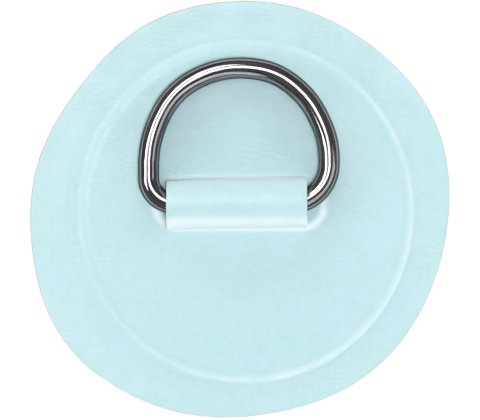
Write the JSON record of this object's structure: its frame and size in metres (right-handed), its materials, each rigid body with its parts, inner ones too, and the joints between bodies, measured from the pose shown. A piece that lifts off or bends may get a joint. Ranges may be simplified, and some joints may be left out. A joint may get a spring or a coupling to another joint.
{
  "type": "soft pad eye with d-ring",
  "caption": "Round bonded fabric patch with a moulded cover disc and a wire D-ring that swings under a short strap, to tie gear down on an inflatable hull.",
  "frame": {"origin": "centre of the patch on its bonding face, the flat underside that is glued to the boat", "axes": "+Z out of the boat's surface, +X along the ring's bar, +Y the way the ring lies at rest"},
  "size_m": [0.0799, 0.0795, 0.01],
  "materials": {
    "coated_fabric": "matte",
    "scrim": "matte",
    "moulded_pvc": "matte",
    "webbing": "matte",
    "stainless": "polished"
  },
  "bodies": {
    "patch": {"base_lower_coat": "coated_fabric", "base_scrim": "scrim", "base_upper_coat": "coated_fabric", "strap_webbing": "webbing", "strap_skin": "moulded_pvc", "cover_disc": "moulded_pvc"},
    "ring": {"d_ring": "stainless"}
  },
  "joints": [
    {"name": "ring_swing", "type": "hinge", "parent": "patch", "child": "ring", "pos_m": [0, 0.0015, 0.0054], "axis": [1, 0, 0], "range_deg": [0, 183.5]}
  ]
}
